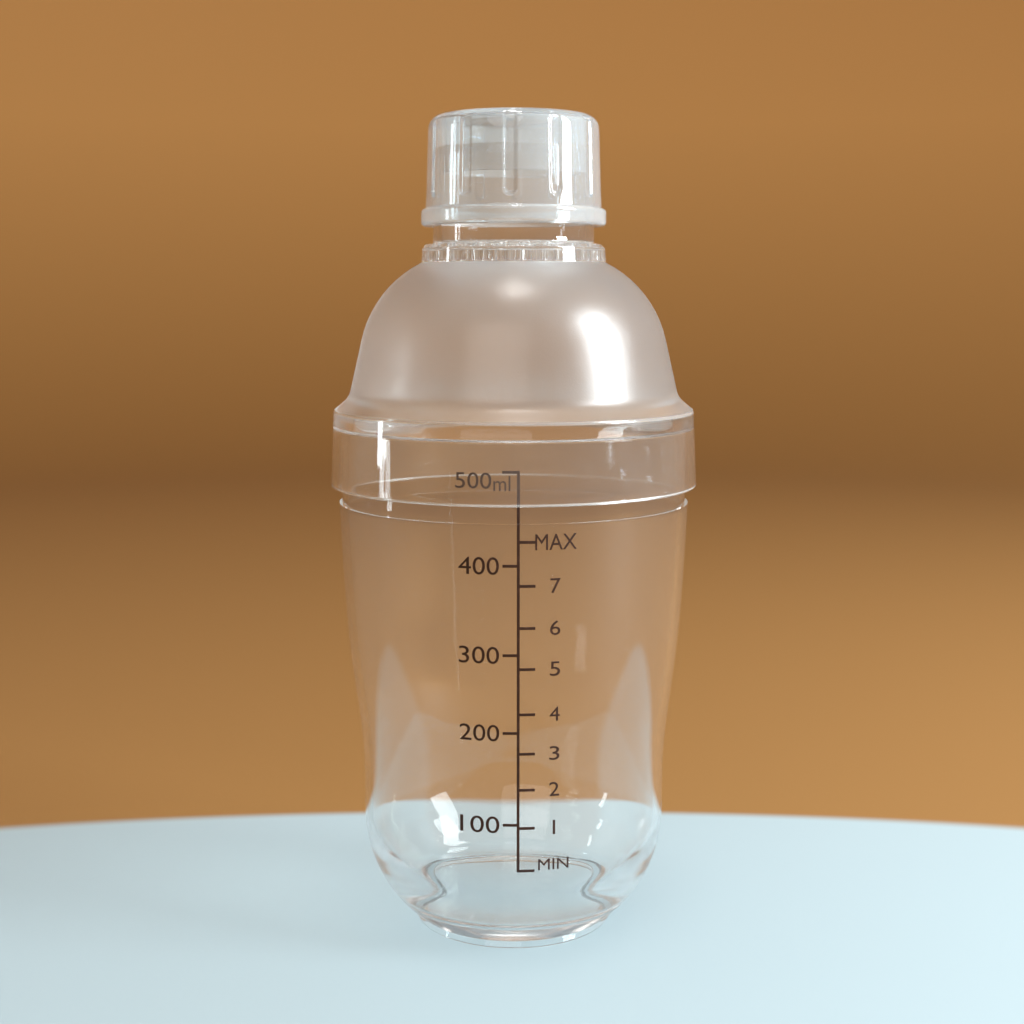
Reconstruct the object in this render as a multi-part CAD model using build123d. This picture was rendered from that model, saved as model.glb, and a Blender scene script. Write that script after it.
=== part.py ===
from build123d import *
import math
import os

# Three-piece clear cocktail shaker: a cup, a strainer lid pushed over its rim and a
# cap pushed over the lid's neck. Millimetres, +Z up, origin at the centre of the foot.
# The printed scale faces -Y.

os.makedirs("parts", exist_ok=True)

# Cup
foot_radius = 24.7
foot_height = 2.0
foot_width = 2.0
foot_chamfer = 0.3
base_recess = 3.0
recess_draft = 0.6
floor_top = 7.0
floor_fillet = 5.0
cup_wall = 2.0
belly_radius = 33.0              # arc between the foot and the waist
belly_height = 28.0              # height of that arc's centre
waist_radius = 37.7
waist_top = 38.0
flare_mid = [(40.3, 65.0), (42.4, 92.0)]   # radius and height on the widening wall
flare_lean = 0.03                # radius gained per millimetre of height at the ledge
ledge_radius = 43.0
ledge_height = 106.5
ledge_fillet = 0.4
rim_foot_radius = 42.3
rim_radius = 42.0
rim_height = 124.7
rim_fillet = 0.6

# Strainer lid
seat_gap = 0.1                   # rim to the ledge inside the lid
skirt_bottom = 110.5
skirt_radius = 45.0
skirt_top = 129.0
skirt_top_radius = 44.1
skirt_mouth_radius = 43.3        # inside, at the bottom edge
skirt_seat_radius = 42.2         # inside, at the ledge
skirt_fillet = 1.4
lid_edge_fillet = 0.6
lid_wall = 2.0
shoulder_foot = (40.3, 132.2)    # where the sloping shoulder meets the cone
shoulder_fillet = 5.0
cone_lean = 13.0                 # degrees from upright
dome_centre = (10.3, 139.9)      # centre of the arc that closes the dome
dome_radius = 27.5
collar_radius = 22.5
collar_top_radius = 22.2
collar_top = 168.9
collar_chamfer = 0.9
neck_radius = 19.6
neck_bottom = 169.1
neck_top = 191.5
neck_taper = 0.03                # radius lost per millimetre of height
neck_lead_in = 2.2
neck_lead_depth = 0.3
neck_bore_radius = 17.5

# Strainer plate across the foot of the neck
plate_bottom = 164.6
plate_top = 167.0
hole_radius = 1.4
hole_rings = [(0.0, 1), (5.2, 6), (10.0, 12), (14.8, 18)]   # ring radius, holes

# Cap
cap_bottom = 173.3
bead_radius = 22.4
bead_top = 177.4
bead_fillet = 0.8
bead_root_fillet = 0.3
cap_wall_radius = 21.3           # just above the bead
cap_top_radius = 20.5
cap_height = 199.9
cap_crown = 0.5
cap_corner = 3.4
cap_clearance = 0.2
cap_inner_top = 197.9
plug_radius = 17.3
plug_wall = 1.2
plug_bottom = 185.4
flute_count = 12
flute_first_angle = -92.4        # just left of the front
flute_radius = 2.6
flute_depth = 0.45
flute_bottom = 179.6

# Printed scale
ink = 0.12
line_width = 0.65
spine_x = 1.0
spine_top = 118.1
spine_bottom = 24.5
volume_tick = 3.2
portion_tick = 3.5
volume_marks = {"500": 118.1, "400": 97.1, "300": 76.5, "200": 57.9, "100": 35.6}
portion_marks = {"7": 92.5, "6": 82.8, "5": 73.2, "4": 62.4, "3": 52.8, "2": 44.0, "1": 34.8}
max_height = 102.5
volume_height = 4.0
volume_edge = -3.3               # right-hand end of the volume figures
top_volume_height = 3.6          # the top row sits under its mark, beside the unit
top_volume_edge = -5.2
top_volume_drop = 1.9
unit_height = 3.4
unit_edge = -0.05
unit_drop = 2.6
portion_height = 3.4
portion_centre = 9.3
max_text_height = 3.6
min_text_height = 2.7
min_text_lift = 1.4
glyph_ratio = 0.62               # width of a figure over its height
glyph_pitch = 0.84               # distance between figures over their height
pen_ratio = 0.13                 # stroke over height
ink_reach = 12.0                 # how far through the wall a figure is projected
artwork_gap = 1.0                # flat artwork in front of the widest wall
skin_below = 3.0                 # thin shell past the lowest and the highest mark
skin_above = 2.0
corner_tolerance = 0.02

# Single-stroke figures on a grid 3 wide and 5 high
strokes = {
    "0": [[(0, 1), (0, 4), (1, 5), (2, 5), (3, 4), (3, 1), (2, 0), (1, 0), (0, 1)]],
    "1": [[(0.6, 4), (1.8, 5), (1.8, 0)]],
    "2": [[(0, 4), (1, 5), (2, 5), (3, 4), (3, 3), (0, 0), (3, 0)]],
    "3": [[(0, 5), (3, 5), (1.4, 3), (3, 2), (3, 1), (2, 0), (1, 0), (0, 1)]],
    "4": [[(2.2, 0), (2.2, 5), (0, 1.5), (3, 1.5)]],
    "5": [[(3, 5), (0.4, 5), (0, 2.6), (2, 3), (3, 2), (3, 1), (2, 0), (0, 0.4)]],
    "6": [[(2.4, 5), (0, 2), (0, 1), (1, 0), (2, 0), (3, 1), (3, 2), (2, 3), (0.6, 2.8)]],
    "7": [[(0, 5), (3, 5), (1, 0)]],
    "M": [[(0, 0), (0, 5), (1.5, 1.5), (3, 5), (3, 0)]],
    "A": [[(0, 0), (1.5, 5), (3, 0)], [(0.6, 1.8), (2.4, 1.8)]],
    "X": [[(0, 0), (3, 5)], [(0, 5), (3, 0)]],
    "I": [[(1.5, 0), (1.5, 5)]],
    "N": [[(0, 0), (0, 5), (3, 0), (3, 5)]],
    "m": [[(0, 0), (0, 3), (3, 3), (3, 0)], [(1.5, 3), (1.5, 0)]],
    "l": [[(0.6, 0), (0.6, 5)]],
}


def near(face, places):
    """Corners of a flat outline that lie at the given places."""
    return [v for v in face.vertices()
            if any(math.hypot(v.X - x, v.Y - y) < corner_tolerance for x, y in places)]


def revolved(face):
    """Solid of revolution about Z from a flat outline of radius and height."""
    return revolve(Plane.XZ * face, Axis.Z)


def cup_arc(radius, height):
    """Lower wall arc from a height up to where it turns vertical."""
    centre_x = waist_radius - belly_radius
    start = (centre_x + (radius ** 2 - (belly_height - height) ** 2) ** 0.5, height)
    middle_height = (height + belly_height) / 2
    middle = (centre_x + (radius ** 2 - (belly_height - middle_height) ** 2) ** 0.5, middle_height)
    return ThreePointArc(start, middle, (centre_x + radius, belly_height))


def flare_curve(inset=0.0):
    """Widening wall from the waist to the ledge, moved inwards by inset."""
    points = [(waist_radius, waist_top)] + flare_mid + [(ledge_radius, ledge_height)]
    return Spline([(r - inset, z) for r, z in points], tangents=[(0, 1), (flare_lean, 1)])


def build_cup():
    outer_arc = cup_arc(belly_radius, foot_height)
    outer_flare = flare_curve()
    inner_arc = cup_arc(belly_radius - cup_wall, floor_top)
    inner_flare = flare_curve(cup_wall)
    floor_corner = inner_arc @ 0
    foot_inner = foot_radius - foot_width
    outline = Curve() + [
        Polyline((0, floor_top), (0, base_recess), (foot_inner - recess_draft, base_recess),
                 (foot_inner, 0), (foot_radius - foot_chamfer, 0),
                 (foot_radius, foot_chamfer), outer_arc @ 0),
        outer_arc,
        Line(outer_arc @ 1, outer_flare @ 0),
        outer_flare,
        Polyline(outer_flare @ 1, (rim_foot_radius, ledge_height), (rim_radius, rim_height),
                 (rim_radius - cup_wall, rim_height), inner_flare @ 1),
        inner_flare,
        Line(inner_flare @ 0, inner_arc @ 1),
        inner_arc,
        Line(floor_corner, (0, floor_top)),
    ]
    face = make_face(outline)
    face = fillet(near(face, [(floor_corner.X, floor_corner.Y)]), floor_fillet)
    rim_corners = [(rim_radius, rim_height), (rim_radius - cup_wall, rim_height)]
    face = fillet(near(face, rim_corners), rim_fillet)
    face = fillet(near(face, [(ledge_radius, ledge_height)]), ledge_fillet)
    return revolved(face)


def neck_at(height):
    """Outer radius of the lid's tapered neck."""
    return neck_radius - (height - neck_bottom) * neck_taper


def build_strainer_plate():
    """Round plate that fills the bore, with rings of straining holes."""
    thickness = plate_top - plate_bottom
    pin = Cylinder(hole_radius, 2 * thickness)
    holes = [Rot(0, 0, i * 360 / count) * Pos(ring_radius, 0, 0) * pin
             for ring_radius, count in hole_rings for i in range(count)]
    return Pos(0, 0, plate_bottom + thickness / 2) * (Cylinder(neck_bore_radius, thickness) - holes)


def on_dome(radius, angle):
    """Point of the dome's arc, or of one parallel to it, at an angle above level."""
    turn = math.radians(angle)
    return (dome_centre[0] + radius * math.cos(turn), dome_centre[1] + radius * math.sin(turn))


def dome_arc(radius, end_angle):
    middle = on_dome(radius, (cone_lean + end_angle) / 2)
    return ThreePointArc(on_dome(radius, cone_lean), middle, on_dome(radius, end_angle))


def build_strainer_lid():
    ledge = rim_height + seat_gap
    inner_radius = dome_radius - lid_wall
    collar_angle = math.degrees(math.acos((collar_radius - dome_centre[0]) / dome_radius))
    bore_angle = math.degrees(math.acos((neck_bore_radius - dome_centre[0]) / inner_radius))
    dome = dome_arc(dome_radius, collar_angle)
    inner_dome = dome_arc(inner_radius, bore_angle)
    cone_foot = inner_dome @ 0
    throat_radius = cone_foot.X + (cone_foot.Y - ledge) * math.tan(math.radians(cone_lean))
    lead_start = neck_top - neck_lead_in
    outline = Curve() + [
        Polyline((skirt_mouth_radius, skirt_bottom), (skirt_radius, skirt_bottom),
                 (skirt_top_radius, skirt_top), shoulder_foot, dome @ 0),
        dome,
        Polyline(dome @ 1, (collar_top_radius, collar_top - collar_chamfer),
                 (collar_top_radius - collar_chamfer, collar_top), (neck_radius, neck_bottom),
                 (neck_at(lead_start), lead_start),
                 (neck_at(neck_top) - neck_lead_depth, neck_top), (neck_bore_radius, neck_top),
                 inner_dome @ 1),
        inner_dome,
        Polyline(inner_dome @ 0, (throat_radius, ledge), (skirt_seat_radius, ledge),
                 (skirt_mouth_radius, skirt_bottom)),
    ]
    face = make_face(outline)
    face = fillet(near(face, [(skirt_top_radius, skirt_top)]), skirt_fillet)
    face = fillet(near(face, [shoulder_foot]), shoulder_fillet)
    edge_corners = [(skirt_radius, skirt_bottom), (skirt_mouth_radius, skirt_bottom)]
    face = fillet(near(face, edge_corners), lid_edge_fillet)
    return revolved(face)


def flute_cutter():
    """One upright round-ended groove, leaning in with the cap's wall."""
    lean = (cap_wall_radius - cap_top_radius) / (cap_height - bead_top)
    start_radius = cap_wall_radius - lean * (flute_bottom - bead_top) + flute_radius - flute_depth
    length = cap_height - flute_bottom + flute_radius
    start = Vector(start_radius, 0, flute_bottom + flute_radius)
    direction = Vector(-lean, 0, 1)
    rod = Plane(origin=start, z_dir=direction) * Cylinder(
        flute_radius, length, align=(Align.CENTER, Align.CENTER, Align.MIN))
    return rod + Pos(*start) * Sphere(flute_radius)


def build_cap():
    inner_mouth = neck_at(cap_bottom) + cap_clearance
    inner_end = neck_at(neck_top) + cap_clearance
    crown = ThreePointArc((0, cap_height), (cap_top_radius / 2, cap_height - cap_crown / 4),
                          (cap_top_radius, cap_height - cap_crown))
    outline = Curve() + [
        crown,
        Polyline(crown @ 1, (cap_wall_radius, bead_top), (bead_radius, bead_top),
                 (bead_radius, cap_bottom), (inner_mouth, cap_bottom), (inner_end, neck_top),
                 (inner_end, cap_inner_top), (0, cap_inner_top), (0, cap_height)),
    ]
    face = make_face(outline)
    face = fillet(near(face, [(cap_top_radius, cap_height - cap_crown)]), cap_corner)
    bead_corners = [(bead_radius, bead_top), (bead_radius, cap_bottom)]
    face = fillet(near(face, bead_corners), bead_fillet)
    face = fillet(near(face, [(cap_wall_radius, bead_top)]), bead_root_fillet)
    cutter = flute_cutter()
    flutes = [Rot(0, 0, flute_first_angle + i * 360 / flute_count) * cutter
              for i in range(flute_count)]
    return revolved(face) - flutes


def build_cap_plug():
    """Sealing ring under the cap's top that slips inside the neck."""
    height = cap_inner_top - plug_bottom
    ring = Cylinder(plug_radius, height) - Cylinder(plug_radius - plug_wall, height)
    return Pos(0, 0, plug_bottom + height / 2) * ring


def ink_skin():
    """Thin shell lying on the outside of the cup, above and below the ledge."""
    lower = flare_curve()
    lower_out = flare_curve(-ink)
    low = spine_bottom - skin_below
    arc = cup_arc(belly_radius, low)
    arc_out = arc.moved(Location((ink, 0, 0)))
    below = make_face(Curve() + [
        arc, Line(arc @ 1, lower @ 0), lower, Line(lower @ 1, lower_out @ 1), lower_out,
        Line(lower_out @ 0, arc_out @ 1), arc_out, Line(arc_out @ 0, arc @ 0)])
    slope = (rim_foot_radius - rim_radius) / (rim_height - ledge_height)
    high = spine_top + skin_above
    high_radius = rim_foot_radius - slope * (high - ledge_height)
    above = make_face(Polyline((rim_foot_radius, ledge_height), (high_radius, high),
                               (high_radius + ink, high), (rim_foot_radius + ink, ledge_height),
                               close=True))
    return revolved(below) + revolved(above)


def pen(points, width):
    """Flat strokes of constant width with round ends along a run of points."""
    slots = []
    for (x0, z0), (x1, z1) in zip(points, points[1:]):
        turn = math.degrees(math.atan2(z1 - z0, x1 - x0))
        slot = SlotCenterToCenter(math.hypot(x1 - x0, z1 - z0), width, rotation=turn)
        slots.append(Pos((x0 + x1) / 2, (z0 + z1) / 2) * slot)
    return slots


def bar(x0, z0, x1, z1):
    return Pos((x0 + x1) / 2, (z0 + z1) / 2) * Rectangle(abs(x1 - x0), abs(z1 - z0))


def figures(text, x, z, height, align="middle"):
    """Pen strokes of a row of figures; x is the row's right-hand end or its middle."""
    pitch = glyph_pitch * height
    width = glyph_ratio * height
    row = pitch * (len(text) - 1) + width
    left = x - row if align == "right" else x - row / 2
    slots = []
    for i, letter in enumerate(text):
        for stroke in strokes[letter]:
            grid = [(left + i * pitch + u * width / 3, z - height / 2 + v * height / 5)
                    for u, v in stroke]
            slots += pen(grid, pen_ratio * height)
    return slots


def printed(flat, skin):
    """Ink left on the cup's front where the flat artwork projects onto it."""
    front = Plane(origin=(0, -ledge_radius - artwork_gap, 0), x_dir=(1, 0, 0), z_dir=(0, -1, 0))
    return skin & extrude(front * flat, -ink_reach)


def rule_artwork():
    half = line_width / 2
    bars = [bar(spine_x - half, spine_bottom - half, spine_x + half, spine_top + half)]
    for z in volume_marks.values():
        bars.append(bar(spine_x - half - volume_tick, z - half, spine_x, z + half))
    for z in list(portion_marks.values()) + [max_height, spine_bottom]:
        bars.append(bar(spine_x, z - half, spine_x + half + portion_tick, z + half))
    return Sketch() + bars


def volume_artwork():
    rows = []
    for text, z in volume_marks.items():
        if text == "500":
            rows += figures(text, top_volume_edge, z - top_volume_drop, top_volume_height, "right")
        else:
            rows += figures(text, volume_edge, z, volume_height, "right")
    rows += figures("ml", unit_edge, volume_marks["500"] - unit_drop, unit_height, "right")
    return Sketch() + rows


def portion_artwork():
    rows = []
    for text, z in portion_marks.items():
        rows += figures(text, portion_centre, z, portion_height)
    rows += figures("MAX", portion_centre, max_height, max_text_height)
    rows += figures("MIN", portion_centre, spine_bottom + min_text_lift, min_text_height)
    return Sketch() + rows


skin = ink_skin()
nodes = {
    "cup_body": build_cup(),
    "strainer_lid": build_strainer_lid(),
    "strainer_plate": build_strainer_plate(),
    "cap": build_cap(),
    "cap_plug": build_cap_plug(),
    "scale_rule": printed(rule_artwork(), skin),
    "volume_figures": printed(volume_artwork(), skin),
    "portion_figures": printed(portion_artwork(), skin),
}
for name, shape in nodes.items():
    export_step(shape, f"parts/{name}.step")
    print(name, len(shape.solids()), round(shape.volume), shape.bounding_box())
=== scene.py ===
import math
import bpy
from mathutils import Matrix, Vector


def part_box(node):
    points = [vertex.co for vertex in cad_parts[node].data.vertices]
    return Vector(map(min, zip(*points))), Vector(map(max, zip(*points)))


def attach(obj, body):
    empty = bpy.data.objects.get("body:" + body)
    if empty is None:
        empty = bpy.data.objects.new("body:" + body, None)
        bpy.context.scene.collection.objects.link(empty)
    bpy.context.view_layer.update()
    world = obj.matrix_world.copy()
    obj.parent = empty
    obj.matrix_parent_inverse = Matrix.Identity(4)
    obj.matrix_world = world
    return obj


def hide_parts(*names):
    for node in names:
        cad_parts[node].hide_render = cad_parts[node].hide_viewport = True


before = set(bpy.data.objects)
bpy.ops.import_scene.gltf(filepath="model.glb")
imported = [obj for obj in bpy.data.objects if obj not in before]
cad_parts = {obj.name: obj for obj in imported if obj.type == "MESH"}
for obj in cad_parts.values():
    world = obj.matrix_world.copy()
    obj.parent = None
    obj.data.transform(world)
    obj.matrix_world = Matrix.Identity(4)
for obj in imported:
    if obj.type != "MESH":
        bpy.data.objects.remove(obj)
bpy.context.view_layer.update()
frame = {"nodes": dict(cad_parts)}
bpy.ops.object.select_all(action="DESELECT")
mm = 0.001
sameSpot = 1e-7  # two places closer than this are one place
shellWeld = 0.002 * mm
printWeld = 0.001 * mm
print("frame loaded:", ", ".join(frame["nodes"]))


def nothingSelected():
    bpy.ops.object.select_all(action="DESELECT")


def only(piece):  # make one piece the active and the only selected one
    nothingSelected()
    piece.select_set(True)
    bpy.context.view_layer.objects.active = piece
    return piece


def settle(piece):  # put an object's place, turn and scale into its mesh
    only(piece)
    bpy.ops.object.transform_apply(location=True, rotation=True, scale=True)


def pick(piece, kind, test):  # select verts, edges or faces by their place, in edit mode
    bpy.ops.object.mode_set(mode="EDIT")
    bpy.ops.mesh.select_mode(type=kind)
    bpy.ops.mesh.select_all(action="DESELECT")
    bpy.ops.object.mode_set(mode="OBJECT")
    mesh = piece.data
    for part in {"VERT": mesh.vertices, "EDGE": mesh.edges, "FACE": mesh.polygons}[kind]:
        part.select = test(part)
    bpy.ops.object.mode_set(mode="EDIT")


# a half section is a list of knots: places with the handles of a curve before and after them, or none
# where it runs straight, and a rounding for a plain corner

def straightKnot(place, rounding=0.0):
    return {"place": Vector(place), "rounding": rounding, "before": None, "after": None}


def handleReach(turn, radius):  # length of the handles that draw an arc
    return 4 / 3 * math.tan(turn / 4) * radius


def arcKnots(centre, radius, start, end):  # two knots of one arc, angles in degrees above level
    knots = []
    reach = handleReach(math.radians(end - start), radius)
    for angle, side in ((start, 1), (end, -1)):
        turn = math.radians(angle)
        knot = straightKnot((centre[0] + radius * math.cos(turn), centre[1] + radius * math.sin(turn)))
        handle = knot["place"] + Vector((-math.sin(turn), math.cos(turn))) * reach * side
        knot["after" if side == 1 else "before"] = handle
        knots.append(knot)
    return knots


def smoothKnots(stations):  # radius, height and sideways lean of a gentle curve
    knots = [straightKnot(station[:2]) for station in stations]
    for i, station in enumerate(stations):
        knot = knots[i]
        lean = Vector((station[2], 1)).normalized()
        if i > 0:
            knot["before"] = knot["place"] - lean * (knot["place"] - knots[i - 1]["place"]).length / 3
        if i < len(stations) - 1:
            knot["after"] = knot["place"] + lean * (knots[i + 1]["place"] - knot["place"]).length / 3
    return knots


def turned(knots):  # the same stretch drawn the other way
    return [{**knot, "before": knot["after"], "after": knot["before"]} for knot in reversed(knots)]


def roundCorners(knots):
    rounded = []
    for i, knot in enumerate(knots):
        if not knot["rounding"]:
            rounded.append(knot)
            continue
        corner = knot["place"]
        back = (knots[i - 1]["place"] - corner).normalized()
        ahead = (knots[i + 1]["place"] - corner).normalized()
        turn = math.pi - back.angle(ahead)
        cut = knot["rounding"] * math.tan(turn / 2)
        reach = handleReach(turn, knot["rounding"])
        first, last = straightKnot(corner + back * cut), straightKnot(corner + ahead * cut)
        first["after"] = first["place"] - back * reach
        last["before"] = last["place"] - ahead * reach
        rounded += [first, last]
    return rounded


def drawSection(name, knots, fineness):  # radius runs along X and height along Z
    knots = roundCorners(knots)
    nothingSelected()
    bpy.ops.curve.primitive_bezier_curve_add()
    section = bpy.context.object
    section.name = name
    section.data.resolution_u = fineness
    points = section.data.splines[0].bezier_points
    points.add(len(knots) - 2)
    for i, (point, knot) in enumerate(zip(points, knots)):
        last, following = knots[max(i - 1, 0)], knots[min(i + 1, len(knots) - 1)]
        before = knot["before"] or knot["place"].lerp(last["place"], 1 / 3)
        after = knot["after"] or knot["place"].lerp(following["place"], 1 / 3)
        point.handle_left_type = point.handle_right_type = "FREE"
        for attribute, flat in (("co", knot["place"]), ("handle_left", before), ("handle_right", after)):
            setattr(point, attribute, Vector((flat.x, 0, flat.y)) * mm)
    bpy.ops.object.convert(target="MESH")
    return bpy.context.object


def spinSection(section, steps, smoothAngle=25):  # closed shell from a section whose ends lie on the axis
    only(section)
    bpy.ops.object.mode_set(mode="EDIT")
    bpy.ops.mesh.select_all(action="SELECT")
    bpy.ops.mesh.spin(steps=steps, angle=2 * math.pi, center=(0, 0, 0), axis=(0, 0, 1))
    bpy.ops.mesh.select_all(action="SELECT")
    bpy.ops.mesh.remove_doubles(threshold=shellWeld)
    bpy.ops.mesh.normals_make_consistent(inside=False)
    bpy.ops.object.mode_set(mode="OBJECT")
    bpy.ops.object.transform_apply(location=True, rotation=True, scale=True)
    bpy.ops.object.shade_smooth_by_angle(angle=math.radians(smoothAngle))
    return section


def applyModifier(piece, kind, **settings):
    only(piece)
    modifier = piece.modifiers.new(kind.lower(), kind)
    for key, value in settings.items():
        setattr(modifier, key, value)
    bpy.ops.object.modifier_apply(modifier=modifier.name)


def joined(pieces, name):
    nothingSelected()
    for piece in pieces:
        piece.select_set(True)
    bpy.context.view_layer.objects.active = pieces[0]
    if len(pieces) > 1:
        bpy.ops.object.join()
    pieces[0].name = name
    return pieces[0]


def newGroup(name, inputs, outputs):
    group = bpy.data.node_groups.new(name, "ShaderNodeTree")
    group.interface.new_socket("Vector", in_out="INPUT", socket_type="NodeSocketVector")
    for label, value in inputs.items():
        socket = group.interface.new_socket(label, in_out="INPUT", socket_type="NodeSocketFloat")
        socket.default_value = value
    for label in outputs:
        group.interface.new_socket(label, in_out="OUTPUT", socket_type="NodeSocketFloat")
    return group, group.nodes.new("NodeGroupInput").outputs, group.nodes.new("NodeGroupOutput").inputs


def feed(tree, socket, value):  # a number is set, anything else is linked
    if isinstance(value, (int, float)):
        socket.default_value = value
    else:
        tree.links.new(value, socket)


def mathNode(tree, operation, *values, clamp=False):
    node = tree.nodes.new("ShaderNodeMath")
    node.operation = operation
    node.use_clamp = clamp
    for socket, value in zip(node.inputs, values):
        feed(tree, socket, value)
    return node.outputs[0]


def noiseNode(tree, vector, scale, detail=2.0, roughness=0.5):
    node = tree.nodes.new("ShaderNodeTexNoise")
    node.inputs["Detail"].default_value = detail
    node.inputs["Roughness"].default_value = roughness
    tree.links.new(vector, node.inputs["Vector"])
    feed(tree, node.inputs["Scale"], scale)
    return node.outputs["Fac"]


def mappedNode(tree, vector, scale):
    node = tree.nodes.new("ShaderNodeMapping")
    node.inputs["Scale"].default_value = scale
    tree.links.new(vector, node.inputs["Vector"])
    return node.outputs["Vector"]


def rampNode(tree, factor, low, high, lowAt=0.0, highAt=1.0):
    node = tree.nodes.new("ShaderNodeValToRGB")
    for element, colour, position in zip(node.color_ramp.elements, (low, high), (lowAt, highAt)):
        element.color = (*colour, 1)
        element.position = position
    tree.links.new(factor, node.inputs["Fac"])
    return node.outputs["Color"]


marks = {"smudgeSize": 55.0, "smudgeDetail": 5.0, "smudgeMix": 0.6, "smudgeFrom": 0.48, "smudgeGain": 4.0,
         "waveSize": 75.0, "waveDetail": 1.5, "waveStretch": (1, 1, 0.35),
         "speckSize": 420.0, "speckEdge": 0.1, "speckCloud": 130.0, "speckFrom": 0.62}


def makeHandlingGroup():  # smudges in the gloss, fine dust specks and slow waves left by the mould
    group, given, result = newGroup(
        "handlingMarks", {"Gloss": 0.03, "Smudge": 0.04, "Wave": 1.0, "Speck": 0.3}, ("Roughness", "Height"))
    vector = given["Vector"]
    smudge = noiseNode(group, vector, marks["smudgeSize"], marks["smudgeDetail"], marks["smudgeMix"])
    smudge = mathNode(group, "SUBTRACT", smudge, marks["smudgeFrom"], clamp=True)
    smudge = mathNode(group, "MULTIPLY", smudge, marks["smudgeGain"])
    smudge = mathNode(group, "MULTIPLY", smudge, given["Smudge"])
    stretched = mappedNode(group, vector, marks["waveStretch"])
    wave = noiseNode(group, stretched, marks["waveSize"], marks["waveDetail"])
    wave = mathNode(group, "MULTIPLY", wave, given["Wave"])
    cells = group.nodes.new("ShaderNodeTexVoronoi")
    cells.inputs["Scale"].default_value = marks["speckSize"]
    group.links.new(vector, cells.inputs["Vector"])
    speck = mathNode(group, "LESS_THAN", cells.outputs["Distance"], marks["speckEdge"])
    here = mathNode(group, "GREATER_THAN", noiseNode(group, vector, marks["speckCloud"]), marks["speckFrom"])
    speck = mathNode(group, "MULTIPLY", mathNode(group, "MULTIPLY", speck, here), given["Speck"])
    group.links.new(mathNode(group, "ADD", given["Gloss"], smudge, clamp=True), result["Roughness"])
    group.links.new(mathNode(group, "ADD", wave, speck), result["Height"])
    return group


grains = {"detail": 3.0, "mix": 0.7, "cloudSize": 60.0, "cloudDetail": 3.0, "cloudMiddle": 0.5}


def makeGrainGroup():  # even sparkle of a satin mould surface
    group, given, result = newGroup(
        "satinGrain", {"Scale": 2600.0, "Satin": 0.4, "Spread": 0.1}, ("Roughness", "Height"))
    vector = given["Vector"]
    grain = noiseNode(group, vector, given["Scale"], grains["detail"], grains["mix"])
    cloud = noiseNode(group, vector, grains["cloudSize"], grains["cloudDetail"])
    cloud = mathNode(group, "SUBTRACT", cloud, grains["cloudMiddle"])
    spread = mathNode(group, "MULTIPLY", cloud, given["Spread"])
    group.links.new(mathNode(group, "ADD", given["Satin"], spread), result["Roughness"])
    group.links.new(grain, result["Height"])
    return group


handlingMarks = makeHandlingGroup()
satinGrain = makeGrainGroup()


def startMaterial(name):
    material = bpy.data.materials.new(name)
    material.use_nodes = True
    tree = material.node_tree
    return material, tree, tree.nodes["Principled BSDF"], tree.nodes.new("ShaderNodeTexCoord").outputs["Object"]


def placeGroup(tree, group, vector, values):
    node = tree.nodes.new("ShaderNodeGroup")
    node.node_tree = group
    tree.links.new(vector, node.inputs["Vector"])
    for label, value in values.items():
        node.inputs[label].default_value = value
    return node


def addBump(tree, shader, height, strength, depth):
    bump = tree.nodes.new("ShaderNodeBump")
    bump.inputs["Strength"].default_value = strength
    bump.inputs["Distance"].default_value = depth
    tree.links.new(height, bump.inputs["Height"])
    tree.links.new(bump.outputs["Normal"], shader.inputs["Normal"])


# lamps shine through the thin walls, and light caught inside one gets out after a few bounces
def letLampsThrough(tree, shader, share, caughtAfter=9.5):
    path = tree.nodes.new("ShaderNodeLightPath")
    caught = mathNode(tree, "GREATER_THAN", path.outputs["Ray Depth"], caughtAfter)
    clear = tree.nodes.new("ShaderNodeBsdfTransparent")
    clear.inputs["Color"].default_value = (share, share, share, 1)
    mix = tree.nodes.new("ShaderNodeMixShader")
    tree.links.new(mathNode(tree, "MAXIMUM", path.outputs["Is Shadow Ray"], caught), mix.inputs["Fac"])
    tree.links.new(shader.outputs[0], mix.inputs[1])
    tree.links.new(clear.outputs[0], mix.inputs[2])
    tree.links.new(mix.outputs[0], tree.nodes["Material Output"].inputs["Surface"])


clearPlastic = {
    "tint": (0.985, 0.99, 0.985), "clouded": 0.97, "cloudSize": 30.0, "cloudDetail": 2.0,
    "ior": 1.5, "see": 0.985, "lampShare": 0.96,
    "gloss": 0.02, "smudge": 0.05, "wave": 1.0, "speck": 0.25, "bump": 0.12, "depth": 0.4 * mm}
satinPlastic = {
    "tint": (0.90, 0.905, 0.90), "clouded": 0.94, "cloudSize": 45.0, "cloudDetail": 4.0,
    "ior": 1.5, "see": 0.91, "lampShare": 0.7,
    "grain": 2200.0, "satin": 0.31, "spread": 0.08, "bump": 0.5, "depth": 0.06 * mm}
scaleInk = {
    "full": (0.028, 0.012, 0.010), "fullTo": 0.55, "thin": (0.075, 0.035, 0.028), "thinFrom": 0.8,
    "wearSize": 900.0, "wearDetail": 4.0, "roughness": 0.42, "grain": 3000.0, "bump": 0.2, "depth": 0.02 * mm}


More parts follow.
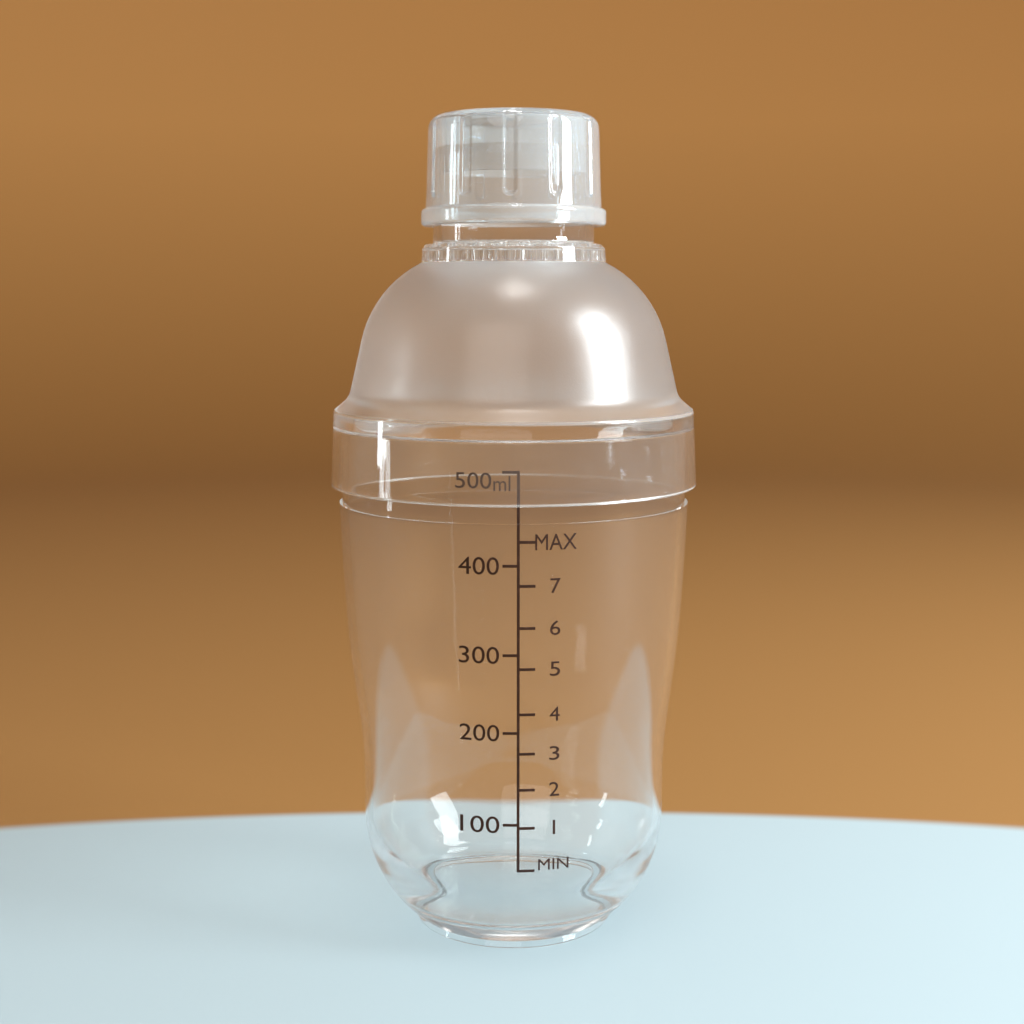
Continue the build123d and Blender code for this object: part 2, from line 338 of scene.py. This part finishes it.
def makePlastic(name, values, group, settings):  # see-through plastic whose finish comes from a group
    material, tree, shader, place = startMaterial(name)
    shader.inputs["IOR"].default_value = values["ior"]
    shader.inputs["Transmission Weight"].default_value = values["see"]
    finish = placeGroup(tree, group, place, {label: values[key] for label, key in settings.items()})
    tree.links.new(finish.outputs["Roughness"], shader.inputs["Roughness"])
    addBump(tree, shader, finish.outputs["Height"], values["bump"], values["depth"])
    cloud = noiseNode(tree, place, values["cloudSize"], values["cloudDetail"])
    clouded = [share * values["clouded"] for share in values["tint"]]
    tree.links.new(rampNode(tree, cloud, clouded, values["tint"]), shader.inputs["Base Color"])
    letLampsThrough(tree, shader, values["lampShare"])
    return material


def makeClear(name, **changes):
    settings = {"Gloss": "gloss", "Smudge": "smudge", "Wave": "wave", "Speck": "speck"}
    return makePlastic(name, {**clearPlastic, **changes}, handlingMarks, settings)


def makeSatin(name):
    settings = {"Scale": "grain", "Satin": "satin", "Spread": "spread"}
    return makePlastic(name, satinPlastic, satinGrain, settings)


def makeInk(name):  # screen print, thinner in places
    material, tree, shader, place = startMaterial(name)
    shader.inputs["Roughness"].default_value = scaleInk["roughness"]
    wear = noiseNode(tree, place, scaleInk["wearSize"], scaleInk["wearDetail"])
    colour = rampNode(tree, wear, scaleInk["full"], scaleInk["thin"], lowAt=scaleInk["fullTo"],
                      highAt=scaleInk["thinFrom"])
    tree.links.new(colour, shader.inputs["Base Color"])
    addBump(tree, shader, noiseNode(tree, place, scaleInk["grain"]), scaleInk["bump"], scaleInk["depth"])
    return material


cupClear = makeClear("cupClear")
lidClear = makeClear("lidClear", smudge=0.08, speck=0.6, see=0.98)
# painted light: the cool blue tint of the cap and of the hazy edges is a painted cast of the bluish window light;
# the haze itself is the plastic's own
capClearPaintedCast = makeClear("capClearPaintedCast", wave=0.7, see=0.895, smudge=0.08, tint=(0.925, 0.978, 1.0))
edgeHazePaintedCast = makeClear("edgeHazePaintedCast", see=0.80, gloss=0.12, tint=(0.90, 0.97, 1.0))
domeSatin = makeSatin("domeSatin")
printInk = makeInk("printInk")
print("materials ready")


cup = {"foot": 24.7, "footHeight": 2.0, "footWidth": 2.0, "footChamfer": 0.3,
       "recess": 3.0, "recessDraft": 0.6, "recessRound": 0.4, "floorTop": 7.0, "floorRound": 5.0, "wall": 2.0,
       "belly": 33.0, "bellyHeight": 28.0, "waist": 37.7, "ledgeHeight": 106.5,
       "rimFoot": 42.3, "rim": 42.0, "rimRound": 0.6, "steps": 192, "fineness": 12,
       "flare": [(37.7, 38.0, 0.0), (39.0, 55.1, 0.13), (41.06, 72.2, 0.092), (42.26, 89.3, 0.054),
                 (43.0, 106.5, 0.03)]}


def cupArc(radius, fromHeight):  # lower wall, up to where it stands upright
    centre = (cup["waist"] - cup["belly"], cup["bellyHeight"])
    return arcKnots(centre, radius, -math.degrees(math.asin((cup["bellyHeight"] - fromHeight) / radius)), 0)


def buildCup():
    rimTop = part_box("cup_body")[1][2] / mm
    footInner = cup["foot"] - cup["footWidth"]
    innerArc = turned(cupArc(cup["belly"] - cup["wall"], cup["floorTop"]))
    innerArc[-1]["rounding"] = cup["floorRound"]
    innerArc[-1]["before"] = None
    knots = [straightKnot((0, cup["recess"])),
             straightKnot((footInner - cup["recessDraft"], cup["recess"]), cup["recessRound"]),
             straightKnot((footInner, 0)),
             straightKnot((cup["foot"] - cup["footChamfer"], 0)),
             straightKnot((cup["foot"], cup["footChamfer"]))]
    knots += cupArc(cup["belly"], cup["footHeight"]) + smoothKnots(cup["flare"])
    knots += [straightKnot((cup["rimFoot"], cup["ledgeHeight"])),
              straightKnot((cup["rim"], rimTop), cup["rimRound"]),
              straightKnot((cup["rim"] - cup["wall"], rimTop), cup["rimRound"])]
    inner = [(radius - cup["wall"], height, lean) for radius, height, lean in cup["flare"]]
    knots += turned(smoothKnots(inner)) + innerArc + [straightKnot((0, cup["floorTop"]))]
    body = spinSection(drawSection("cupBody", knots, cup["fineness"]), cup["steps"])
    body.data.materials.append(cupClear)
    return body


cupBody = buildCup()
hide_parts("cup_body")
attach(cupBody, "cup")
print("cup spun:", len(cupBody.data.polygons), "faces")


lid = {"skirt": 45.0, "skirtTop": (44.1, 129.0), "skirtRound": 1.4, "mouth": 43.3, "seat": 42.2, "ledge": 124.8,
       "edgeRound": 0.6, "smallRound": 0.3, "wall": 2.0, "shoulder": (40.3, 132.2), "shoulderRound": 5.0,
       "coneLean": 13.0, "domeCentre": (10.3, 139.9), "dome": 27.5,
       "collar": 22.5, "collarTop": (22.2, 168.0), "collarChamfer": 0.9,
       "neckFoot": (19.6, 169.1), "neckRound": 0.5, "leadIn": 2.2, "leadDepth": 0.3, "taper": 0.03, "bore": 17.5,
       "satinGap": 0.1, "satinInside": 21.0, "hazeBand": 1.4, "steps": 192, "fineness": 10}
strainer = {"bottom": 164.6, "top": 167.0, "hole": 1.4, "sides": 32,
            "rings": [(0.0, 1), (5.2, 6), (10.0, 12), (14.8, 18)]}  # ring radius and how many holes


def neckRadius(height):
    return lid["neckFoot"][0] - (height - lid["neckFoot"][1]) * lid["taper"]


def drillStrainer(shell):
    cutters = []
    for ringRadius, count in strainer["rings"]:
        for i in range(count):
            turn = 2 * math.pi * i / count
            bpy.ops.mesh.primitive_cylinder_add(
                vertices=strainer["sides"], radius=strainer["hole"] * mm,
                depth=3 * (strainer["top"] - strainer["bottom"]) * mm,  # well past both faces of the plate
                location=(ringRadius * math.cos(turn) * mm, ringRadius * math.sin(turn) * mm, strainer["top"] * mm))
            cutters.append(bpy.context.object)
    drill = joined(cutters, "strainerDrill")
    applyModifier(shell, "BOOLEAN", object=drill, operation="DIFFERENCE", solver="EXACT")
    bpy.data.objects.remove(drill)


def dressLid(shell, lidBottom, domeTop):  # satin dome, hazy edges and the collar, both with a painted cool window cast, the rest clear
    shell.data.materials.clear()
    for material in (lidClear, domeSatin, edgeHazePaintedCast, capClearPaintedCast):
        shell.data.materials.append(material)
    satinFrom = lid["skirtTop"][1] + lid["satinGap"]
    for face in shell.data.polygons:
        radius, height = math.hypot(face.center.x, face.center.y), face.center.z
        outward = face.normal.dot(Vector((face.center.x, face.center.y, radius))) > 0
        if outward and radius > lid["satinInside"] * mm and satinFrom * mm < height < domeTop * mm:
            face.material_index = 1
        if height < (lidBottom + lid["edgeRound"]) * mm or \
                outward and satinFrom * mm - lid["hazeBand"] * mm < height < satinFrom * mm:
            face.material_index = 2
        if outward and radius > lid["neckFoot"][0] * mm and height > domeTop * mm:
            face.material_index = 3


def buildLid():
    lidBottom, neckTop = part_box("strainer_lid")[0][2] / mm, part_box("strainer_lid")[1][2] / mm
    centre = lid["domeCentre"]
    inside = lid["dome"] - lid["wall"]
    collarAngle = math.degrees(math.acos((lid["collar"] - centre[0]) / lid["dome"]))
    plateAngle = math.degrees(math.asin((strainer["bottom"] - centre[1]) / inside))
    innerDome = turned(arcKnots(centre, inside, lid["coneLean"], plateAngle))
    coneFoot = innerDome[-1]["place"]
    throat = coneFoot.x + (coneFoot.y - lid["ledge"]) * math.tan(math.radians(lid["coneLean"]))
    leadStart = neckTop - lid["leadIn"]
    chamferTop = (lid["collarTop"][0] - lid["collarChamfer"], lid["collarTop"][1] + lid["collarChamfer"])
    knots = [straightKnot((0, strainer["bottom"]))] + innerDome
    knots += [straightKnot((throat, lid["ledge"]), lid["smallRound"]),
              straightKnot((lid["seat"], lid["ledge"]), lid["smallRound"]),
              straightKnot((lid["mouth"], lidBottom), lid["edgeRound"]),
              straightKnot((lid["skirt"], lidBottom), lid["edgeRound"]),
              straightKnot(lid["skirtTop"], lid["skirtRound"]),
              straightKnot(lid["shoulder"], lid["shoulderRound"])]
    knots += arcKnots(centre, lid["dome"], lid["coneLean"], collarAngle)
    knots += [straightKnot(lid["collarTop"], lid["smallRound"]),
              straightKnot(chamferTop, lid["smallRound"]),
              straightKnot(lid["neckFoot"], lid["neckRound"]),
              straightKnot((neckRadius(leadStart), leadStart), lid["neckRound"]),
              straightKnot((neckRadius(neckTop) - lid["leadDepth"], neckTop), lid["smallRound"]),
              straightKnot((lid["bore"], neckTop), lid["smallRound"]),
              straightKnot((lid["bore"], strainer["top"]), lid["neckRound"]),
              straightKnot((0, strainer["top"]))]
    shell = spinSection(drawSection("strainerLid", knots, lid["fineness"]), lid["steps"])
    drillStrainer(shell)
    dressLid(shell, lidBottom, centre[1] + lid["dome"] * math.sin(math.radians(collarAngle)))
    return shell


strainerLid = buildLid()
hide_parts("strainer_lid", "strainer_plate")
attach(strainerLid, "lid")
print("lid spun and drilled:", len(strainerLid.data.polygons), "faces")


cap = {"bead": 22.4, "beadTop": 177.4, "beadRound": 0.9, "beadRoot": 0.3, "wall": 21.3, "draft": 0.1, "top": 20.5,
       "crown": 0.5, "cornerRound": 3.4, "clearance": 0.2, "innerTop": 197.9, "innerRound": 0.7, "edgeRound": 0.3,
       "plug": 17.3, "plugWall": 1.2, "plugBottom": 185.4, "plugCorner": 0.5, "plugRoot": 0.4,
       "hazeInside": 20.2, "hazeTo": 177.5, "fineness": 8, "steps": 480}
flutes = {"count": 12, "first": -92.4, "halfWidth": 1.6, "side": 0.35, "depth": 0.45, "bottom": 179.6,
          "fade": 196.5, "fadeHeight": 2.0, "skin": 0.8, "facing": -0.5, "below": 0.3,
          "above": 1.9}


def cutFlutes(shell):  # grooves pressed in with a weighted displace
    pressed = shell.vertex_groups.new(name="flutes")
    pitch = 2 * math.pi / flutes["count"]
    first = math.radians(flutes["first"])
    low = flutes["bottom"] + flutes["halfWidth"]
    for vertex in shell.data.vertices:
        radius, height = math.hypot(vertex.co.x, vertex.co.y) / mm, vertex.co.z / mm
        outside = radius >= cap["top"] - flutes["skin"] and vertex.normal.z >= flutes["facing"]
        if height < flutes["bottom"] or not outside:
            continue
        offset = (math.atan2(vertex.co.y, vertex.co.x) - first + pitch / 2) % pitch - pitch / 2
        reach = math.hypot(offset * radius, max(low - height, 0)) / flutes["halfWidth"]
        fade = min(max((flutes["fade"] + flutes["fadeHeight"] - height) / flutes["fadeHeight"], 0), 1)
        weight = min(max((1 - reach) / flutes["side"], 0), 1) * fade
        if weight > 0:
            pressed.add([vertex.index], weight, "REPLACE")
    applyModifier(shell, "DISPLACE", vertex_group="flutes", strength=-flutes["depth"] * mm, mid_level=0.0,
                  direction="NORMAL")


def buildCap():
    capBottom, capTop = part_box("cap")[0][2] / mm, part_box("cap")[1][2] / mm
    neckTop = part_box("strainer_lid")[1][2] / mm
    boreTop, boreBottom = neckRadius(neckTop) + cap["clearance"], neckRadius(capBottom) + cap["clearance"]
    plugInner = cap["plug"] - cap["plugWall"]
    knots = [straightKnot((0, cap["innerTop"])),
             straightKnot((plugInner, cap["innerTop"]), cap["plugCorner"]),
             straightKnot((plugInner, cap["plugBottom"]), cap["edgeRound"]),
             straightKnot((cap["plug"], cap["plugBottom"]), cap["edgeRound"]),
             straightKnot((cap["plug"], cap["innerTop"]), cap["plugRoot"]),
             straightKnot((boreTop, cap["innerTop"]), cap["innerRound"]),
             straightKnot((boreTop, neckTop)),
             straightKnot((boreBottom, capBottom), cap["edgeRound"]),
             straightKnot((cap["bead"], capBottom), cap["beadRound"]),
             straightKnot((cap["bead"], cap["beadTop"]), cap["beadRound"]),
             straightKnot((cap["wall"], cap["beadTop"]), cap["beadRoot"]),
             straightKnot((cap["wall"] - cap["draft"], flutes["bottom"] - flutes["below"])),
             straightKnot((cap["wall"] - 2 * cap["draft"], flutes["bottom"] + flutes["above"])),
             straightKnot((cap["top"], capTop - cap["crown"]), cap["cornerRound"]),
             straightKnot((0, capTop))]
    knots[-1]["before"] = Vector((cap["top"] / 2, capTop))  # level handle, so the crown has no peak
    shell = spinSection(drawSection("fluteCap", knots, cap["fineness"]), cap["steps"])
    cutFlutes(shell)
    shell.data.materials.append(capClearPaintedCast)
    shell.data.materials.append(edgeHazePaintedCast)
    # the bead's foot takes the hazy edge plastic, with its painted cool window cast
    for face in shell.data.polygons:
        radius = math.hypot(face.center.x, face.center.y)
        if face.center.z < cap["hazeTo"] * mm and radius > cap["hazeInside"] * mm:
            face.material_index = 1
    return shell


fluteCap = buildCap()
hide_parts("cap", "cap_plug")
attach(fluteCap, "top_cap")
print("cap spun and fluted:", len(fluteCap.data.polygons), "faces")


ink = {"thick": 0.1, "line": 0.65, "spine": 1.0, "volumeTick": 3.2, "portionTick": 3.5, "tickSteps": 3,
       "top": 118.1, "bottom": 24.5, "front": -48.0, "lift": 0.01, "bend": (26, 117, 2), "bendGap": 0.5,
       "ledgeBends": (-0.4, -0.02, 0.05)}
volumeMarks = {"500": 118.1, "400": 97.1, "300": 76.5, "200": 57.9, "100": 35.6}
portionMarks = {"7": 92.5, "6": 82.8, "5": 73.2, "4": 62.4, "3": 52.8, "2": 44.0, "1": 34.8}
maxMark = 102.5
lettering = {  # height, width, side that is lined up
    "volume": (4.0, 9.1, -3.3), "top": (3.6, 7.9, -4.9), "unit": (3.3, 3.7, -0.75), "portion": (3.4, 2.3, 9.3),
    "max": (3.6, 9.3, 9.4), "min": (2.7, 7.1, 9.2),
    "slimOne": 0.24, "firstSize": 1.4, "fineness": 6, "topDrop": 1.9, "unitDrop": 2.5, "minLift": 1.4}


def printOnCup(piece):  # lay flat artwork on the cup's front and give it the ink's thickness
    settle(piece)
    applyModifier(piece, "SHRINKWRAP", target=cupBody, wrap_method="PROJECT", use_project_y=True,
                  use_positive_direction=True, use_negative_direction=False, offset=ink["lift"] * mm)
    applyModifier(piece, "SOLIDIFY", thickness=ink["thick"] * mm, offset=1.0)
    piece.data.materials.clear()
    piece.data.materials.append(printInk)
    return piece


def figures(text, kind, middle):
    height, width, line = lettering[kind]
    if text == "1":
        width *= lettering["slimOne"]
    nothingSelected()
    bpy.ops.object.text_add(location=(0, ink["front"] * mm, 0), rotation=(math.pi / 2, 0, 0))
    letters = bpy.context.object
    letters.data.body = text
    letters.data.size = height * lettering["firstSize"] * mm
    letters.data.resolution_u = lettering["fineness"]
    bpy.ops.object.convert(target="MESH")
    letters = bpy.context.object
    settle(letters)
    bpy.ops.object.mode_set(mode="EDIT")
    bpy.ops.mesh.select_all(action="SELECT")
    bpy.ops.mesh.remove_doubles(threshold=printWeld)
    bpy.ops.object.mode_set(mode="OBJECT")
    points = letters.data.vertices
    left, right = min(p.co.x for p in points), max(p.co.x for p in points)
    low, high = min(p.co.z for p in points), max(p.co.z for p in points)
    start = line - width if line < 0 else line - width / 2  # rows left of the rule end on one line
    for point in points:
        point.co.x = (start + (point.co.x - left) / (right - left) * width) * mm
        point.co.z = (middle - height / 2 + (point.co.z - low) / (high - low) * height) * mm
    return letters


def ruleHeights(ticks, half):  # where the strip needs an edge: at each mark and often enough to bend
    heights = {ink["bottom"] - half, ink["top"] + half}
    for height, side in ticks:
        heights |= {height - half, height + half}
    heights |= {cup["ledgeHeight"] + bend for bend in ink["ledgeBends"]}
    heights |= {bend for bend in range(*ink["bend"]) if all(abs(bend - h) > ink["bendGap"] for h in heights)}
    return sorted(heights)


def buildRule():  # one strip drawn upwards, with the marks pulled out of its sides
    half = ink["line"] / 2
    ticks = sorted([(height, -1) for height in volumeMarks.values()]
                   + [(height, 1) for height in list(portionMarks.values()) + [maxMark, ink["bottom"]]])
    heights = ruleHeights(ticks, half)
    nothingSelected()
    bpy.ops.mesh.primitive_plane_add(size=1)
    rule = bpy.context.object
    rule.name = "scaleRule"
    points = rule.data.vertices
    left, right = (ink["spine"] - half) * mm, (ink["spine"] + half) * mm
    for point in points:
        edgeX, height = left if point.co.x < 0 else right, heights[0 if point.co.y < 0 else 1]
        point.co = (edgeX, ink["front"] * mm, height * mm)
    for low, high in zip(heights[1:], heights[2:]):
        pick(rule, "EDGE", lambda edge: all(
            abs(rule.data.vertices[i].co.z - low * mm) < sameSpot for i in edge.vertices))
        bpy.ops.mesh.extrude_region_move(TRANSFORM_OT_translate={"value": (0, 0, (high - low) * mm)})
        bpy.ops.object.mode_set(mode="OBJECT")
    for height, side in ticks:
        edgeX = right if side > 0 else left
        length = ink["portionTick"] if side > 0 else ink["volumeTick"]
        lowest, highest = (height - half) * mm - sameSpot, (height + half) * mm + sameSpot
        pick(rule, "EDGE", lambda edge: all(
            abs(rule.data.vertices[i].co.x - edgeX) < sameSpot
            and lowest < rule.data.vertices[i].co.z < highest for i in edge.vertices))
        for step in range(ink["tickSteps"]):
            bpy.ops.mesh.extrude_region_move(
                TRANSFORM_OT_translate={"value": (side * length / ink["tickSteps"] * mm, 0, 0)})
        bpy.ops.object.mode_set(mode="OBJECT")
    pick(rule, "FACE", lambda face: True)
    bpy.ops.mesh.remove_doubles(threshold=printWeld)
    bpy.ops.mesh.normals_make_consistent(inside=False)
    bpy.ops.object.mode_set(mode="OBJECT")
    if rule.data.polygons[0].normal.y > 0:
        rule.data.flip_normals()
    return printOnCup(rule)


def buildVolumeFigures():
    rows = [figures(text, "volume", height) for text, height in volumeMarks.items() if height < ink["top"]]
    rows.append(figures("500", "top", ink["top"] - lettering["topDrop"]))
    rows.append(figures("ml", "unit", ink["top"] - lettering["unitDrop"]))
    return printOnCup(joined(rows, "volumeFigures"))


def buildPortionFigures():
    rows = [figures(text, "portion", height) for text, height in portionMarks.items()]
    rows.append(figures("MAX", "max", maxMark))
    rows.append(figures("MIN", "min", ink["bottom"] + lettering["minLift"]))
    return printOnCup(joined(rows, "portionFigures"))


for printed, node in ((buildRule(), "scale_rule"), (buildVolumeFigures(), "volume_figures"),
                      (buildPortionFigures(), "portion_figures")):
    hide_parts(node)
    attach(printed, "cup")
print("scale printed")


studio = {"floor": 1.6, "sweep": 0.6, "wall": 2.0, "fineness": 16, "steps": 96, "smoothAngle": 60,
          "pale": (0.36, 0.45, 0.48), "warm": (0.50, 0.255, 0.07), "warmLow": (0.27, 0.130, 0.032),
          "paleTo": 0.073, "warmFrom": 0.080, "squash": 0.3, "warmFull": 0.36, "roughness": 0.75,
          "world": (0.95, 0.97, 1.0), "worldStrength": 0.35}
lampAim = (0, 0, 0.13)
lamps = [  # name, place, width, height, watts, colour
    ("windowRight", (0.92, -0.30, 0.60), 0.34, 0.66, 32.0, (0.88, 0.96, 1.0)),
    ("doorLeft", (-1.00, -0.02, 0.24), 0.07, 0.33, 1.2, (0.84, 0.95, 1.0)),
    ("ceiling", (0.03, -0.16, 1.35), 0.22, 0.22, 4.0, (1.0, 0.98, 0.95)),
    ("roomFill", (-0.3, -1.3, 0.9), 1.2, 0.9, 6.0, (1.0, 0.97, 0.94))]
shot = {"side": -0.4, "distance": 384.4, "height": 156.7, "pitch": 7.9, "lens": 54.84, "nearest": 0.01}


def colourSocket(sockets, which=0):  # a Mix node keeps sockets of every kind under one name
    return [socket for socket in sockets if socket.type == "RGBA"][which]


def makeSweepPaper():  # pale where the piece stands, warm behind it
    material, tree, shader, place = startMaterial("sweepPaper")
    shader.inputs["Roughness"].default_value = studio["roughness"]
    length = tree.nodes.new("ShaderNodeVectorMath")
    length.operation = "LENGTH"
    tree.links.new(mappedNode(tree, place, (studio["squash"], 1, 1)), length.inputs[0])
    fade = tree.nodes.new("ShaderNodeMapRange")
    fade.interpolation_type = "SMOOTHSTEP"
    fade.inputs["From Min"].default_value = studio["paleTo"]
    fade.inputs["From Max"].default_value = studio["warmFrom"]
    tree.links.new(length.outputs["Value"], fade.inputs["Value"])
    apart = tree.nodes.new("ShaderNodeSeparateXYZ")
    tree.links.new(place, apart.inputs[0])
    # the level part catches more light, so it is darker
    wall = rampNode(tree, apart.outputs["Z"], studio["warmLow"], studio["warm"], highAt=studio["warmFull"])
    blend = tree.nodes.new("ShaderNodeMix")
    blend.data_type = "RGBA"
    tree.links.new(fade.outputs["Result"], blend.inputs["Factor"])
    colourSocket(blend.inputs).default_value = (*studio["pale"], 1)
    tree.links.new(wall, colourSocket(blend.inputs, 1))
    tree.links.new(colourSocket(blend.outputs), shader.inputs["Base Color"])
    return material


def buildStage():
    knots = [straightKnot((0, 0)), straightKnot((studio["floor"] / mm, 0), studio["sweep"] / mm),
             straightKnot((studio["floor"] / mm, studio["wall"] / mm))]
    section = drawSection("studioSweep", knots, studio["fineness"])
    stage = spinSection(section, studio["steps"], studio["smoothAngle"])
    stage.data.flip_normals()
    stage.data.materials.append(makeSweepPaper())


def addLamps():
    for name, place, width, height, watts, colour in lamps:
        turn = (Vector(lampAim) - Vector(place)).to_track_quat("-Z", "Y").to_euler()
        bpy.ops.object.light_add(type="AREA", location=place, rotation=turn)
        lamp = bpy.context.object
        lamp.name = name
        lamp.data.shape = "RECTANGLE"
        lamp.data.size, lamp.data.size_y = width, height
        lamp.data.energy = watts
        lamp.data.color = colour
    world = bpy.data.worlds.new("room")
    world.use_nodes = True
    background = world.node_tree.nodes["Background"]
    background.inputs["Color"].default_value = (*studio["world"], 1)
    background.inputs["Strength"].default_value = studio["worldStrength"]
    bpy.context.scene.world = world


def addCamera():
    bpy.ops.object.camera_add(location=(shot["side"] * mm, -shot["distance"] * mm, shot["height"] * mm),
                              rotation=(math.radians(90 - shot["pitch"]), 0, 0))
    camera = bpy.context.object
    camera.data.lens = shot["lens"]
    camera.data.clip_start = shot["nearest"]
    bpy.context.scene.camera = camera


def setLightPaths(most):  # enough bounces for every wall a ray meets on its way through
    paths = bpy.context.scene.cycles
    paths.max_bounces = paths.transmission_bounces = paths.glossy_bounces = paths.transparent_max_bounces = most
    paths.caustics_refractive = False
    paths.caustics_reflective = False


buildStage()
addLamps()
addCamera()
setLightPaths(28)
bpy.context.scene.view_settings.view_transform = "Standard"
print("stage, lamps and camera set")
